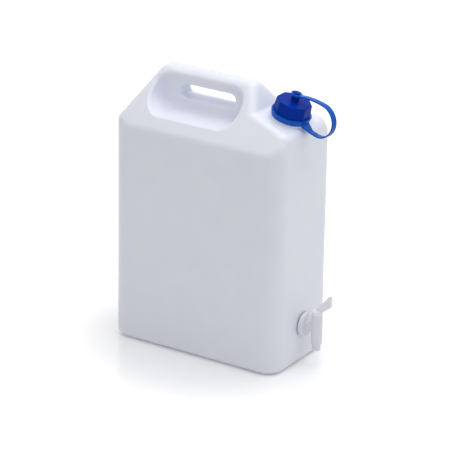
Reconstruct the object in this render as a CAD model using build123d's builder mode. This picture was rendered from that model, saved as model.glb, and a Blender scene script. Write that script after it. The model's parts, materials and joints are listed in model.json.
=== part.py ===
# Blow-moulded water canister with a screw cap on a tether and a drain tap.
# Millimetres. The origin is the centre of the tank's base, X runs along the wide face
# towards the tap, Y goes towards the back and Z is up.

import os
from math import cos, hypot, radians, sin, tan

from build123d import *

os.makedirs("parts", exist_ok=True)

# Tank
tank_length = 290.0
tank_depth = 156.0
shoulder_height = 341.0
top_height = 421.0
corner_radius = 28.0
foot_radius = 12.0
wall = 2.0
base_recess = 2.5
base_rim = 24.0
base_band = 26.0

# Hump of the roof that carries the grip: four slopes from the shoulder to the ridge
hump_left = -145.0
hump_right = 102.0
ridge_left = -98.5
ridge_right = 59.0
ridge_width = 23.0
roof_rounding = 16.0

# Deck at the tap end, square to the tilted neck
neck_x = 116.6
neck_z = 384.7
neck_tilt = 15.0
deck_drop = 9.5
root_depth = 12.0
valley_rounding = 8.0
root_rounding = 4.0

# Scoops beside the grip and the window through it
grip_thickness = 30.0
scoop_left = -99.0
scoop_right = 52.0
scoop_floor = 359.0
scoop_top = 413.0
scoop_corner = 26.0
scoop_bottom_rounding = 7.0
scoop_rim_rounding = 5.0
window_left = -65.0
window_right = 30.0
window_floor = 377.5
window_top = 398.3
window_corner = 9.0
window_rounding = 3.0

# Shallow stiffening panel pressed into both wide faces
panel_centre_x = -5.0
panel_centre_z = 177.0
panel_rim_width = 178.0
panel_rim_height = 256.0
panel_width = 106.0
panel_height = 180.0
panel_depth = 1.6

# Neck
root_radius = 27.0
neck_radius = 20.8
neck_bore = 18.0
neck_top = 16.4
seat_height = -6.6

# Tether: ring on the neck, strap and eye on the cap's knob
ring_radius = 30.0
ring_foot_radius = 28.0
ring_thickness = 8.0
ring_clearance = 0.5
seat_gap = 0.1
strap_width = 9.0
strap_thickness = 2.2
strap_azimuth = -8.0
loop_reach = 51.5
loop_radius = 24.5
loop_height = 15.0
upper_bend = 130.0
root_reach = 41.0
root_width = 23.0
root_height = -2.5
eye_radius = 8.3

# Screw cap
cap_across = 52.0
cap_draft = 5.0
cap_corner = 6.0
cap_facets = 8
cap_gap = 0.5
cap_top = 20.4
cap_roof = 2.4
cap_edge = 1.6
thread_room = 2.1
stem_radius = 6.0
stem_top = 30.2
groove_radius = 3.8
head_radius = 5.6
head_height = 1.7
head_rounding = 1.2
knob_clearance = 0.4
liner_thickness = 1.6
liner_clearance = 0.3

# Drain tap
tap_height = 61.5
socket_radius = 14.0
socket_length = 14.0
inlet_radius = 9.8
inlet_clearance = 0.4
inlet_bore = 5.6
port_radius = 3.6
gasket_thickness = 2.5
gasket_radius = 16.0
collar_radius = 18.0
collar_thickness = 5.5
collar_rounding = 1.2
link_radius = 7.4
barrel_reach = 24.5
barrel_radius = 8.3
barrel_low = 35.0
barrel_high = 82.5
spout_radius = 6.2
spout_low = 26.0
spout_bore = 4.2
spout_step = 0.6
plug_radius = 5.8
plug_fit = 0.06
plug_low = 42.0
plug_bore = 3.4
plug_cap_height = 6.5
plug_cap_rounding = 2.5
lever_reach = 24.0
lever_rise = 27.0
lever_tip = 17.0
lever_thickness = 4.4
lever_root = 4.5
lever_elbow = 12.0
lever_lift = 0.8
lever_shoulder = 3.5

half_length = tank_length / 2
half_depth = tank_depth / 2
front_run = (half_depth - ridge_width / 2) / (top_height - shoulder_height)
left_run = (ridge_left - hump_left) / (top_height - shoulder_height)
right_run = (hump_right - ridge_right) / (top_height - shoulder_height)
tilt_slope = tan(radians(neck_tilt))
window_length = window_right - window_left
window_height = window_top - window_floor
window_centre = ((window_left + window_right) / 2, (window_floor + window_top) / 2)

neck_plane = Plane(
    origin=(neck_x, 0, neck_z),
    x_dir=(cos(radians(neck_tilt)), 0, -sin(radians(neck_tilt))),
    z_dir=(sin(radians(neck_tilt)), 0, cos(radians(neck_tilt))),
)
deck_centre_z = neck_z - deck_drop / cos(radians(neck_tilt))


def slope_setback(run, inset):
    """How far a sloped face moves inward at one level when it is offset by inset."""
    return inset * hypot(1, run)


def deck_z(x, inset):
    """Height of the deck over x, for a form moved inward by inset."""
    return deck_centre_z - (x - neck_x) * tilt_slope - inset * hypot(1, tilt_slope)


def scoop_pair(inset):
    """The two finger scoops as solids to cut away, grown by inset."""
    with BuildPart() as scoops:
        with BuildSketch(Plane.XZ.offset(grip_thickness / 2 - inset)):
            with Locations(((scoop_left + scoop_right) / 2, (scoop_floor + scoop_top) / 2)):
                RectangleRounded(
                    scoop_right - scoop_left + 2 * inset,
                    scoop_top - scoop_floor + 2 * inset,
                    scoop_corner + inset,
                )
        extrude(amount=half_depth)
        inner_rim = scoops.faces().filter_by(Axis.Y).sort_by(Axis.Y)[-1]
        fillet(inner_rim.edges(), scoop_bottom_rounding + inset)
        mirror(about=Plane.XZ)
    return scoops.part


def panel_pair(inset):
    """The shallow pressed panels of both wide faces as solids to cut away."""
    face_y = half_depth - inset
    with BuildPart() as panels:
        with BuildSketch(Plane.XZ.offset(face_y)):
            with Locations((panel_centre_x, panel_centre_z)):
                Rectangle(panel_rim_width, panel_rim_height)
        with BuildSketch(Plane.XZ.offset(face_y - panel_depth)):
            with Locations((panel_centre_x, panel_centre_z)):
                Rectangle(panel_width, panel_height)
        loft(ruled=True)
        mirror(about=Plane.XZ)
    return panels.part


def base_hollow(inset):
    """The two hollows under the base that leave a rim and a middle band to stand on."""
    hollow_length = (tank_length - 2 * base_rim - base_band) / 2
    with BuildPart() as hollow:
        with BuildSketch(Plane.XY.offset(inset)):
            with GridLocations(hollow_length + base_band, 0, 2, 1):
                RectangleRounded(
                    hollow_length + 2 * inset,
                    tank_depth - 2 * base_rim + 2 * inset,
                    corner_radius / 2 + inset,
                )
        extrude(amount=base_recess)
    return hollow.part


def tank_form(inset):
    """The tank as a closed solid with every face moved inward by inset."""
    top = top_height - inset
    side_low = half_depth - slope_setback(front_run, inset)
    left_low = hump_left + slope_setback(left_run, inset)
    right_low = hump_right - slope_setback(right_run, inset)
    rise = top - shoulder_height
    deck_low = deck_z(half_length, inset)
    spare = corner_radius
    slope_zero = right_low + right_run * shoulder_height
    valley_z = (deck_z(0, inset) - tilt_slope * slope_zero) / (1 - tilt_slope * right_run)
    valley_x = slope_zero - right_run * valley_z

    with BuildPart() as form:
        with BuildSketch(Plane.XY.offset(inset)):
            RectangleRounded(
                tank_length - 2 * inset, tank_depth - 2 * inset, corner_radius - inset
            )
        extrude(amount=top - inset)
        with BuildSketch(Plane.YZ.offset(-half_length)):
            for side in (-1, 1):
                with BuildLine():
                    Polyline(
                        (side * (side_low + front_run * spare), shoulder_height - spare),
                        (side * (side_low - front_run * rise), top),
                        (side * (side_low + front_run * spare), top),
                        close=True,
                    )
                make_face()
        extrude(amount=tank_length, mode=Mode.SUBTRACT)
        with BuildSketch(Plane.XZ):
            with BuildLine():
                Polyline(
                    (left_low - left_run * spare, shoulder_height - spare),
                    (left_low + left_run * rise, top),
                    (left_low - left_run * spare, top),
                    close=True,
                )
            make_face()
            with BuildLine():
                Polyline(
                    (right_low - right_run * rise, top),
                    (valley_x, valley_z),
                    (half_length + spare, deck_z(half_length + spare, inset)),
                    (half_length + spare, top),
                    close=True,
                )
            make_face()
        extrude(amount=half_depth, both=True, mode=Mode.SUBTRACT)

        fillet(form.edges().group_by(Axis.Z)[0], foot_radius - inset)
        hump_edges = form.edges().filter_by(
            lambda edge: edge.bounding_box().max.Z > valley_z + roof_rounding
        )
        fillet(hump_edges, roof_rounding - inset)
        end_edges = form.edges().filter_by(
            lambda edge: edge.center().X > valley_x
            and shoulder_height - foot_radius < edge.bounding_box().min.Z < deck_low + wall
        )
        fillet(end_edges, roof_rounding - inset)
        valley = form.edges().filter_by(Axis.Y).filter_by(
            lambda edge: ridge_right < edge.center().X < neck_x - root_radius
        )
        fillet(valley.sort_by(Axis.Z)[0], valley_rounding + inset)
        add(scoop_pair(inset), mode=Mode.SUBTRACT)
        scoop_rims = form.edges(Select.LAST).filter_by(
            lambda edge: abs(
                side_low - front_run * (edge.center().Z - shoulder_height) - abs(edge.center().Y)
            ) < wall / 2
        )
        fillet(scoop_rims, scoop_rim_rounding - inset)
        with BuildSketch(Plane.XZ):
            with Locations(window_centre):
                RectangleRounded(
                    window_length + 2 * inset, window_height + 2 * inset, window_corner + inset
                )
        extrude(amount=half_depth, both=True, mode=Mode.SUBTRACT)
        fillet(form.edges(Select.LAST).filter_by(Axis.Y, reverse=True), window_rounding - inset)
        add(panel_pair(inset), mode=Mode.SUBTRACT)
        add(base_hollow(inset), mode=Mode.SUBTRACT)
    return form.part


outer = tank_form(0)
inner = tank_form(wall)

# Canister, one blow moulding with its grip, neck and tap socket
with BuildPart() as canister_body:
    add(outer)
    with BuildSketch(neck_plane.offset(-deck_drop - root_depth)):
        Circle(root_radius)
    extrude(amount=deck_drop + root_depth + seat_height)
    root_edges = canister_body.edges(Select.LAST).filter_by(GeomType.LINE, reverse=True)
    root_top = root_edges.sort_by(lambda e: (e.center() - neck_plane.origin).dot(neck_plane.z_dir))[-1]
    fillet([e for e in root_edges if e.length > root_radius and e != root_top], root_rounding)
    with BuildSketch(neck_plane.offset(seat_height)):
        Circle(neck_radius)
    extrude(amount=neck_top - seat_height)
    add(inner, mode=Mode.SUBTRACT)
    with BuildSketch(neck_plane.offset(-deck_drop - root_depth)):
        Circle(root_radius - wall)
    extrude(amount=deck_drop + root_depth + seat_height - wall, mode=Mode.SUBTRACT)
    with BuildSketch(neck_plane.offset(seat_height - 2 * wall)):
        Circle(neck_bore)
    extrude(amount=neck_top - seat_height + 3 * wall, mode=Mode.SUBTRACT)
    with BuildSketch(Plane.YZ.offset(half_length - wall - socket_length)):
        with Locations((0, tap_height)):
            Circle(socket_radius)
    extrude(amount=socket_length + wall / 2)
    with BuildSketch(Plane.YZ.offset(half_length - wall - socket_length)):
        with Locations((0, tap_height)):
            Circle(inlet_radius + inlet_clearance)
    extrude(amount=socket_length + 2 * wall, mode=Mode.SUBTRACT)
canister_body.part.label = "canister_body"
export_step(canister_body.part, "parts/canister_body.step")

# Tether, one moulding: ring round the neck, strap with its flared root, eye on the knob
ring_low = seat_height + seat_gap
eye_low = stem_top + seat_gap
eye_middle = eye_low + strap_thickness / 2
azimuth = radians(strap_azimuth)
loop_plane = Plane(
    origin=neck_plane.origin,
    x_dir=neck_plane.x_dir * cos(azimuth) + neck_plane.y_dir * sin(azimuth),
    z_dir=neck_plane.x_dir * sin(azimuth) - neck_plane.y_dir * cos(azimuth),
)
loop_high = loop_height + loop_radius
loop_low = loop_height - loop_radius

with BuildPart() as cap_tether:
    with BuildSketch(neck_plane.offset(ring_low)):
        Circle(ring_foot_radius)
    with BuildSketch(neck_plane.offset(ring_low + ring_thickness)):
        Circle(ring_radius)
    loft()
    with BuildSketch(neck_plane.offset(eye_low)):
        Circle(eye_radius)
        Circle(groove_radius + knob_clearance, mode=Mode.SUBTRACT)
    extrude(amount=strap_thickness)
    with BuildSketch(loop_plane):
        with BuildLine():
            RadiusArc(
                (eye_radius - strap_thickness / 2, eye_middle), (loop_reach, loop_high), upper_bend
            )
            RadiusArc((loop_reach, loop_high), (loop_reach, loop_low), loop_radius)
            Line((loop_reach, loop_low), (root_reach, loop_low))
        trace(line_width=strap_thickness)
    extrude(amount=strap_width / 2, both=True)
    for reach, height, width in (
        (neck_radius + ring_clearance, root_height, root_width),
        (root_reach, loop_low, strap_width),
    ):
        section = Plane(
            origin=loop_plane.from_local_coords((reach, height, 0)),
            x_dir=loop_plane.z_dir,
            z_dir=loop_plane.x_dir,
        )
        with BuildSketch(section):
            Rectangle(width, strap_thickness)
    loft(ruled=True)
    with BuildSketch(neck_plane.offset(ring_low)):
        Circle(neck_radius + ring_clearance)
    extrude(amount=ring_thickness, mode=Mode.SUBTRACT)
cap_tether.part.label = "cap_tether"
export_step(cap_tether.part, "parts/cap_tether.step")

# Screw cap with grip facets and the knob that holds the eye
cap_low = ring_low + ring_thickness + cap_gap
cap_bore = neck_radius + thread_room
head_low = eye_low + strap_thickness + seat_gap
head_top = head_low + head_height
with BuildPart() as screw_cap:
    with BuildSketch(neck_plane.offset(cap_low)):
        RegularPolygon(cap_across / 2, cap_facets, major_radius=False, rotation=180 / cap_facets)
        fillet(vertices(), cap_corner)
    extrude(amount=cap_top - cap_low, taper=cap_draft)
    crown = screw_cap.faces().sort_by(lambda f: (f.center() - neck_plane.origin).dot(neck_plane.z_dir))[-1]
    fillet(crown.edges(), cap_edge)
    with BuildSketch(neck_plane.offset(cap_top)):
        Circle(stem_radius)
    extrude(amount=stem_top - cap_top)
    with BuildSketch(neck_plane.offset(stem_top)):
        Circle(groove_radius)
    extrude(amount=head_low - stem_top)
    with BuildSketch(neck_plane.offset(head_low)):
        Circle(head_radius)
    extrude(amount=head_height)
    knob_top = screw_cap.faces().sort_by(lambda f: (f.center() - neck_plane.origin).dot(neck_plane.z_dir))[-1]
    fillet(knob_top.edges(), head_rounding)
    with BuildSketch(neck_plane.offset(cap_low)):
        Circle(cap_bore)
    extrude(amount=cap_top - cap_roof - cap_low, mode=Mode.SUBTRACT)
screw_cap.part.label = "screw_cap"
export_step(screw_cap.part, "parts/screw_cap.step")

# Sealing disc that lies loose between the cap and the neck's lip
liner_top = cap_top - cap_roof
with BuildPart() as cap_liner:
    with BuildSketch(neck_plane.offset(liner_top - liner_thickness)):
        Circle(cap_bore - liner_clearance)
    extrude(amount=liner_thickness)
cap_liner.part.label = "cap_liner"
export_step(cap_liner.part, "parts/cap_liner.step")

# Flat gasket between the tank and the tap's collar
with BuildPart() as tap_gasket:
    with BuildSketch(Plane.YZ.offset(half_length)):
        with Locations((0, tap_height)):
            Circle(gasket_radius)
            Circle(inlet_radius + inlet_clearance, mode=Mode.SUBTRACT)
    extrude(amount=gasket_thickness)
tap_gasket.part.label = "tap_gasket"
export_step(tap_gasket.part, "parts/tap_gasket.step")

# Tap body, one moulding: inlet, collar, link, upright barrel and spout
collar_inner = half_length + gasket_thickness
collar_outer = collar_inner + collar_thickness
inlet_inner = half_length - wall - socket_length
barrel_x = half_length + barrel_reach
with BuildPart() as tap_body:
    with BuildSketch(Plane.YZ.offset(collar_inner)):
        with Locations((0, tap_height)):
            Circle(collar_radius)
    extrude(amount=collar_thickness)
    fillet(tap_body.edges().filter_by(GeomType.CIRCLE).sort_by(Axis.X)[-1], collar_rounding)
    with BuildSketch(Plane.YZ.offset(inlet_inner)):
        with Locations((0, tap_height)):
            Circle(inlet_radius)
    extrude(amount=collar_inner - inlet_inner)
    with BuildSketch(Plane.YZ.offset(collar_outer)):
        with Locations((0, tap_height)):
            Circle(link_radius)
    extrude(amount=barrel_x - collar_outer)
    with BuildSketch(Plane.XY.offset(barrel_low)):
        with Locations((barrel_x, 0)):
            Circle(barrel_radius)
    extrude(amount=barrel_high - barrel_low)
    with BuildSketch(Plane.XY.offset(spout_low)):
        with Locations((barrel_x, 0)):
            Circle(spout_radius)
    extrude(amount=barrel_low - spout_low)
    low_rim = tap_body.faces().filter_by(Axis.Z).sort_by(Axis.Z)[1]
    chamfer(low_rim.edges().sort_by(SortBy.LENGTH)[-1], barrel_radius - spout_radius - spout_step)
    with BuildSketch(Plane.XY.offset(spout_low)):
        with Locations((barrel_x, 0)):
            Circle(spout_bore)
    extrude(amount=plug_low - spout_low, mode=Mode.SUBTRACT)
    with BuildSketch(Plane.XY.offset(plug_low)):
        with Locations((barrel_x, 0)):
            Circle(plug_radius + plug_fit)
    extrude(amount=barrel_high - plug_low, mode=Mode.SUBTRACT)
    with BuildSketch(Plane.YZ.offset(inlet_inner)):
        with Locations((0, tap_height)):
            Circle(inlet_bore)
    extrude(amount=collar_outer - inlet_inner, mode=Mode.SUBTRACT)
    with BuildSketch(Plane.YZ.offset(inlet_inner)):
        with Locations((0, tap_height)):
            Circle(port_radius)
    extrude(amount=barrel_x - inlet_inner, mode=Mode.SUBTRACT)
tap_body.part.label = "tap_body"
export_step(tap_body.part, "parts/tap_body.step")

# Plug that turns in the barrel, with its side port, cap and thumb lever
plug_cap_top = barrel_high + plug_cap_height
with BuildPart() as tap_plug:
    with BuildSketch(Plane.XY.offset(plug_low)):
        with Locations((barrel_x, 0)):
            Circle(plug_radius)
    extrude(amount=barrel_high - plug_low)
    with BuildSketch(Plane.XY.offset(barrel_high)):
        with Locations((barrel_x, 0)):
            Circle(barrel_radius)
    extrude(amount=plug_cap_height)
    fillet(tap_plug.edges().filter_by(GeomType.CIRCLE).sort_by(Axis.Z)[-1], plug_cap_rounding)
    with BuildSketch(Plane.XZ):
        with BuildLine():
            Polyline(
                (barrel_x - lever_root, plug_cap_top - plug_cap_height / 2),
                (barrel_x + barrel_radius - plug_cap_rounding, plug_cap_top - plug_cap_height / 2),
                (barrel_x + lever_elbow, plug_cap_top + lever_lift),
                (barrel_x + lever_reach, plug_cap_top + lever_rise - lever_tip),
                (barrel_x + lever_reach, plug_cap_top + lever_rise),
                (barrel_x + lever_reach - lever_shoulder, plug_cap_top + lever_rise),
                close=True,
            )
        make_face()
    extrude(amount=lever_thickness / 2, both=True)
    with BuildSketch(Plane.XY.offset(plug_low)):
        with Locations((barrel_x, 0)):
            Circle(plug_bore)
    extrude(amount=tap_height + port_radius - plug_low, mode=Mode.SUBTRACT)
    with BuildSketch(Plane.XZ):
        with Locations((barrel_x, tap_height)):
            Circle(port_radius)
    extrude(amount=-plug_radius, mode=Mode.SUBTRACT)
tap_plug.part.label = "tap_plug"
export_step(tap_plug.part, "parts/tap_plug.step")
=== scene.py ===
"""Looks of a milky water canister with a blue tethered cap and a drain tap."""

import json
import math

import bmesh
import bpy
from mathutils import Matrix, Vector


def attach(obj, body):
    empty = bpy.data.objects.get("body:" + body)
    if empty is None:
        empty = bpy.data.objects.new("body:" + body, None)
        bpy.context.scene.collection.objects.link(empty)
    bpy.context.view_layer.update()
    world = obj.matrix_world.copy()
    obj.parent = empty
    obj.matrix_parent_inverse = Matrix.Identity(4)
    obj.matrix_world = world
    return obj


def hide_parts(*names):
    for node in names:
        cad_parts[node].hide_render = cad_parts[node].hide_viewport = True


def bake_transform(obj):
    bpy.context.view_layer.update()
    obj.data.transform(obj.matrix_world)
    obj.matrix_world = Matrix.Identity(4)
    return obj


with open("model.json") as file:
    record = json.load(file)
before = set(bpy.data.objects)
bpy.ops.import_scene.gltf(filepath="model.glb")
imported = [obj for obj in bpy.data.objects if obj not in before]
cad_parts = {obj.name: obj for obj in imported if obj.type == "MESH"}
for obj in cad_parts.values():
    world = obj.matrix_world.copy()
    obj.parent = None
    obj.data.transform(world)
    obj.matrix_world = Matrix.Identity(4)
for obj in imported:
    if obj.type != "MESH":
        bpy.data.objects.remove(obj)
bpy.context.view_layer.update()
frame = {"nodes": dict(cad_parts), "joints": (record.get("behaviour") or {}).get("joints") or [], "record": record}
nodes = frame["nodes"]
scene = bpy.context.scene

# Camera, at the photograph's viewing angle, in degrees, metres and millimetres of lens
VIEW_YAW = 32.4
VIEW_PITCH = 21.69
VIEW_ROLL = 0.924
VIEW_DISTANCE = 4.054
VIEW_TARGET = Vector((0.0106, -0.0032, 0.1868))
LENS = 218.0
SENSOR = 36.0

# Light: the white world's strength, and each lamp's place, width and power
WORLD_LEVEL = 0.57
LAMP_TARGET = Vector((0, 0, 0.2))
TOP_LAMP = (Vector((0.3, 0.2, 1.9)), 1.6, 17.5)
SIDE_LAMP = (Vector((2.0, 0.3, 1.0)), 1.2, 0.5)

# Floor: its painted glow grows with the distance from the tank, so that its far part is white and a painted shade
# stays near the tank's foot
FLOOR_SIZE = 12.0
FLOOR_COLOUR = (0.95, 0.95, 0.95, 1)
FLOOR_ROUGHNESS = 0.16
FLOOR_IOR = 1.9
NEAR_GLOW = 0.1
FAR_GLOW = 0.45
GLOW_START = 0.13
GLOW_FULL = 0.36

# Plastic: mottling of colour and gloss, fine grain, and the tank's seam and translucency
MOTTLE_SIZE = 0.03
MOTTLE_DETAIL = 3
MOTTLE_COLOUR = 0.012
MOTTLE_GLOSS = 0.15
MOTTLE_LOW = 0.3
MOTTLE_HIGH = 0.7
GRAIN_SIZE = 0.0015
GRAIN_DETAIL = 2
GRAIN_DEPTH = 0.0001
GRAIN_STRENGTH = 0.4
SEAM_HALF_WIDTH = 0.0005
SEAM_RIDGE = 0.0003
TANK_SUBSURFACE = 0.25
TANK_SUBSURFACE_REACH = 0.008

# Thread on the neck, in metres about the neck's axis, with its pitch taken from the cap's rise
NECK_RADIUS = 0.0208
THREAD_TOP = 0.0148
THREAD_TURNS = 2.75
THREAD_RIDGE = 0.0014
THREAD_FOOT = 0.0024
THREAD_CREST = 0.0008
THREAD_SINK = 0.0004
THREAD_RUN_OUT = 0.08
THREAD_STEPS = 56

# Tether: it runs between its ring on the neck and its eye on the cap's knob, and its mesh is cut finer to this
# edge length
TETHER_EDGE = 0.003
TETHER_PASSES = 3
WELD_DISTANCE = 1e-6

SHARP_ANGLE = math.radians(30)


def add_object(name, data):
    """A new object in the scene that shows the data."""
    item = bpy.data.objects.new(name, data)
    scene.collection.objects.link(item)
    return item


def make_camera():
    """Creates the camera and makes it the scene's camera."""
    yaw = math.radians(VIEW_YAW)
    pitch = math.radians(VIEW_PITCH)
    roll = math.radians(VIEW_ROLL)
    back = Vector((
        math.sin(yaw) * math.cos(pitch), -math.cos(yaw) * math.cos(pitch), math.sin(pitch)
    ))
    level = Vector((math.cos(yaw), math.sin(yaw), 0))
    upward = back.cross(level)
    right = level * math.cos(roll) + upward * math.sin(roll)
    up = upward * math.cos(roll) - level * math.sin(roll)
    data = bpy.data.cameras.new("camera")
    data.lens = LENS
    data.sensor_width = SENSOR
    camera = add_object("camera", data)
    turn = Matrix((right, up, back)).transposed().to_4x4()
    camera.matrix_world = Matrix.Translation(VIEW_TARGET + back * VIEW_DISTANCE) @ turn
    scene.camera = camera


def area_lamp(name, place, width, power):
    """A square soft lamp that points at the tank."""
    data = bpy.data.lights.new(name, "AREA")
    data.size = width
    data.energy = power
    lamp = add_object(name, data)
    lamp.location = place
    lamp.rotation_euler = (LAMP_TARGET - place).to_track_quat("-Z", "Y").to_euler()


def seen_directly(tree):
    """A socket that is 1 for the camera's rays and for reflections, and 0 for other light."""
    path = tree.nodes.new("ShaderNodeLightPath")
    seen = tree.nodes.new("ShaderNodeMath")
    seen.operation = "MAXIMUM"
    tree.links.new(path.outputs["Is Camera Ray"], seen.inputs[0])
    tree.links.new(path.outputs["Is Glossy Ray"], seen.inputs[1])
    return seen.outputs[0]


def make_world():
    """A world that looks white and lights the tank evenly from all sides."""
    world = bpy.data.worlds.new("world")
    world.use_nodes = True
    tree = world.node_tree
    tree.nodes.clear()
    lit = tree.nodes.new("ShaderNodeBackground")
    lit.inputs["Strength"].default_value = WORLD_LEVEL
    white = tree.nodes.new("ShaderNodeBackground")
    for node in (lit, white):
        node.inputs["Color"].default_value = (1, 1, 1, 1)
    mix = tree.nodes.new("ShaderNodeMixShader")
    tree.links.new(seen_directly(tree), mix.inputs[0])
    tree.links.new(lit.outputs[0], mix.inputs[1])
    tree.links.new(white.outputs[0], mix.inputs[2])
    out = tree.nodes.new("ShaderNodeOutputWorld")
    tree.links.new(mix.outputs[0], out.inputs["Surface"])
    scene.world = world


def new_material(name):
    """A node material that holds one shader, with its node tree and that shader."""
    material = bpy.data.materials.new(name)
    material.use_nodes = True
    tree = material.node_tree
    tree.nodes.clear()
    out = tree.nodes.new("ShaderNodeOutputMaterial")
    shader = tree.nodes.new("ShaderNodeBsdfPrincipled")
    tree.links.new(shader.outputs[0], out.inputs["Surface"])
    return material, tree, shader


def noise(tree, place, size, detail):
    """A socket with noise whose cells have the given size in metres."""
    node = tree.nodes.new("ShaderNodeTexNoise")
    node.inputs["Scale"].default_value = 1 / size
    node.inputs["Detail"].default_value = detail
    tree.links.new(place, node.inputs["Vector"])
    return node.outputs["Fac"]


def with_seam(tree, place, height):
    """The bump height with the mould's parting line added, a fine ridge where Y is 0."""
    parts = tree.nodes.new("ShaderNodeSeparateXYZ")
    tree.links.new(place, parts.inputs[0])
    off = tree.nodes.new("ShaderNodeMath")
    off.operation = "ABSOLUTE"
    tree.links.new(parts.outputs["Y"], off.inputs[0])
    line = tree.nodes.new("ShaderNodeMapRange")
    line.interpolation_type = "SMOOTHSTEP"
    line.inputs["From Max"].default_value = SEAM_HALF_WIDTH
    line.inputs["To Min"].default_value = SEAM_RIDGE / GRAIN_DEPTH
    line.inputs["To Max"].default_value = 0
    tree.links.new(off.outputs[0], line.inputs["Value"])
    total = tree.nodes.new("ShaderNodeMath")
    total.operation = "ADD"
    tree.links.new(line.outputs[0], total.inputs[0])
    tree.links.new(height, total.inputs[1])
    return total.outputs[0]


def plastic(name, colour, roughness, specular=0.5, tank=False):
    """Moulded plastic, mottled and grained, and with a seam and translucent on the tank."""
    material, tree, shader = new_material(name)
    place = tree.nodes.new("ShaderNodeTexCoord").outputs["Object"]
    cloud = noise(tree, place, MOTTLE_SIZE, MOTTLE_DETAIL)
    ramp = tree.nodes.new("ShaderNodeValToRGB")
    low, high = ramp.color_ramp.elements
    low.position = MOTTLE_LOW
    low.color = [channel * (1 - MOTTLE_COLOUR) for channel in colour] + [1]
    high.position = MOTTLE_HIGH
    high.color = [min(1, channel * (1 + MOTTLE_COLOUR)) for channel in colour] + [1]
    tree.links.new(cloud, ramp.inputs[0])
    tree.links.new(ramp.outputs[0], shader.inputs["Base Color"])
    gloss = tree.nodes.new("ShaderNodeMapRange")
    gloss.inputs["To Min"].default_value = roughness * (1 - MOTTLE_GLOSS)
    gloss.inputs["To Max"].default_value = roughness * (1 + MOTTLE_GLOSS)
    tree.links.new(cloud, gloss.inputs["Value"])
    tree.links.new(gloss.outputs[0], shader.inputs["Roughness"])
    height = noise(tree, place, GRAIN_SIZE, GRAIN_DETAIL)
    if tank:
        height = with_seam(tree, place, height)
        shader.inputs["Subsurface Weight"].default_value = TANK_SUBSURFACE
        shader.inputs["Subsurface Radius"].default_value = (1, 1, 1)
        shader.inputs["Subsurface Scale"].default_value = TANK_SUBSURFACE_REACH
    bump = tree.nodes.new("ShaderNodeBump")
    bump.inputs["Strength"].default_value = GRAIN_STRENGTH
    bump.inputs["Distance"].default_value = GRAIN_DEPTH
    tree.links.new(height, bump.inputs["Height"])
    tree.links.new(bump.outputs[0], shader.inputs["Normal"])
    shader.inputs["Specular IOR Level"].default_value = specular
    return material


def dress(name, material):
    """Gives a CAD node its material."""
    mesh = nodes[name].data
    mesh.materials.clear()
    mesh.materials.append(material)


def neck_axis():
    """The centre of the neck's foot and the direction of the neck."""
    turn = next(joint for joint in frame["joints"] if joint["name"] == "cap_turn")
    return Vector(turn["pos_m"]), Vector(turn["axis"]).normalized()


def piece_from(name, shape, material):
    """An object with the shape, smooth apart from its sharp edges, in the given material."""
    mesh = bpy.data.meshes.new(name)
    shape.to_mesh(mesh)
    shape.free()
    mesh.materials.append(material)
    mesh.shade_smooth()
    mesh.set_sharp_from_angle(angle=SHARP_ANGLE)
    return add_object(name, mesh)


def make_neck_thread(material):
    """The right-handed thread under the cap, with its ends run out into the neck."""
    centre, axis = neck_axis()
    tilt = Vector((0, 0, 1)).rotation_difference(axis).to_matrix().to_4x4()
    place = Matrix.Translation(centre) @ tilt
    pitch = frame["record"]["behaviour"]["couplings"][0]["ratio"] * 2 * math.pi
    foot_radius = NECK_RADIUS - THREAD_SINK
    ridge = bmesh.new()
    steps = round(THREAD_TURNS * THREAD_STEPS)
    before = None
    for step in range(steps + 1):
        share = step / steps
        angle = 2 * math.pi * THREAD_TURNS * share
        middle = THREAD_TOP - pitch * THREAD_TURNS * (1 - share)
        swell = min(1, share / THREAD_RUN_OUT, (1 - share) / THREAD_RUN_OUT)
        crest_radius = NECK_RADIUS + THREAD_RIDGE * swell
        section = []
        for radius, rise in (
            (foot_radius, -THREAD_FOOT / 2),
            (crest_radius, -THREAD_CREST / 2),
            (crest_radius, THREAD_CREST / 2),
            (foot_radius, THREAD_FOOT / 2),
        ):
            point = Vector((radius * math.cos(angle), radius * math.sin(angle), middle + rise))
            section.append(ridge.verts.new(place @ point))
        if before:
            for corner in range(len(section)):
                after = (corner + 1) % len(section)
                ridge.faces.new((before[corner], before[after], section[after], section[corner]))
        else:
            ridge.faces.new(section)
        before = section
    ridge.faces.new(reversed(before))
    bmesh.ops.recalc_face_normals(ridge, faces=ridge.faces)
    thread = piece_from("neck_thread", ridge, material)
    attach(thread, "canister")


def make_tether(material):
    """The tether's own mesh, cut finer into small triangles."""
    fine = bmesh.new()
    fine.from_mesh(nodes["cap_tether"].data)
    fine.transform(nodes["cap_tether"].matrix_world)
    bmesh.ops.remove_doubles(fine, verts=fine.verts, dist=WELD_DISTANCE)
    for _ in range(TETHER_PASSES):
        long_edges = [edge for edge in fine.edges if edge.calc_length() > TETHER_EDGE]
        bmesh.ops.subdivide_edges(fine, edges=long_edges, cuts=1)
        bmesh.ops.triangulate(fine, faces=[face for face in fine.faces if len(face.verts) > 3])
    tether = piece_from("tether", fine, material)
    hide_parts("cap_tether")
    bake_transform(tether)


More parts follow.
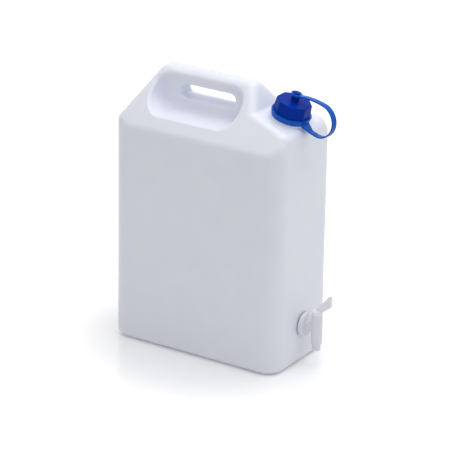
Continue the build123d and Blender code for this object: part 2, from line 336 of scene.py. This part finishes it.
def make_floor():
    """Pale floor with a faint mirror image near the tank's foot, and a painted glow that is weaker there, a
    painted shade around the foot.
    """
    material, tree, shader = new_material("floor")
    shader.inputs["Base Color"].default_value = FLOOR_COLOUR
    shader.inputs["Roughness"].default_value = FLOOR_ROUGHNESS
    shader.inputs["IOR"].default_value = FLOOR_IOR
    shader.inputs["Emission Color"].default_value = (1, 1, 1, 1)
    distance = tree.nodes.new("ShaderNodeVectorMath")
    distance.operation = "LENGTH"
    place = tree.nodes.new("ShaderNodeTexCoord")
    tree.links.new(place.outputs["Object"], distance.inputs[0])
    # Painted glow on the floor, seen by the camera and in reflections: weaker near the tank, which leaves a
    # painted shade around its foot
    painted_glow = tree.nodes.new("ShaderNodeMapRange")
    painted_glow.interpolation_type = "SMOOTHSTEP"
    painted_glow.inputs["From Min"].default_value = GLOW_START
    painted_glow.inputs["From Max"].default_value = GLOW_FULL
    painted_glow.inputs["To Min"].default_value = NEAR_GLOW
    painted_glow.inputs["To Max"].default_value = FAR_GLOW
    tree.links.new(distance.outputs["Value"], painted_glow.inputs["Value"])
    shown = tree.nodes.new("ShaderNodeMath")
    shown.operation = "MULTIPLY"
    tree.links.new(painted_glow.outputs[0], shown.inputs[0])
    tree.links.new(seen_directly(tree), shown.inputs[1])
    tree.links.new(shown.outputs[0], shader.inputs["Emission Strength"])
    mesh = bpy.data.meshes.new("floor")
    half = FLOOR_SIZE / 2
    corners = [(-half, -half, 0), (half, -half, 0), (half, half, 0), (-half, half, 0)]
    mesh.from_pydata(corners, [], [(0, 1, 2, 3)])
    mesh.materials.append(material)
    add_object("floor", mesh)


make_camera()
make_world()
area_lamp("top_lamp", *TOP_LAMP)
area_lamp("side_lamp", *SIDE_LAMP)
make_floor()
scene.view_settings.view_transform = "Standard"

tank_plastic = plastic("tank_plastic", (0.86, 0.885, 1.0), 0.38, tank=True)
dress("canister_body", tank_plastic)
make_neck_thread(tank_plastic)
dress("tap_body", plastic("tap_plastic", (0.77, 0.78, 0.83), 0.3))
dress("tap_plug", plastic("tap_plug_plastic", (0.86, 0.86, 0.9), 0.3))
dress("tap_gasket", plastic("gasket_rubber", (0.34, 0.34, 0.36), 0.6))
dress("screw_cap", plastic("cap_plastic", (0.001, 0.032, 0.34), 0.2, specular=0.04))
make_tether(plastic("tether_plastic", (0.003, 0.1, 0.5), 0.3, specular=0.12))
dress("cap_liner", plastic("liner_foam", (0.85, 0.85, 0.83), 0.7))
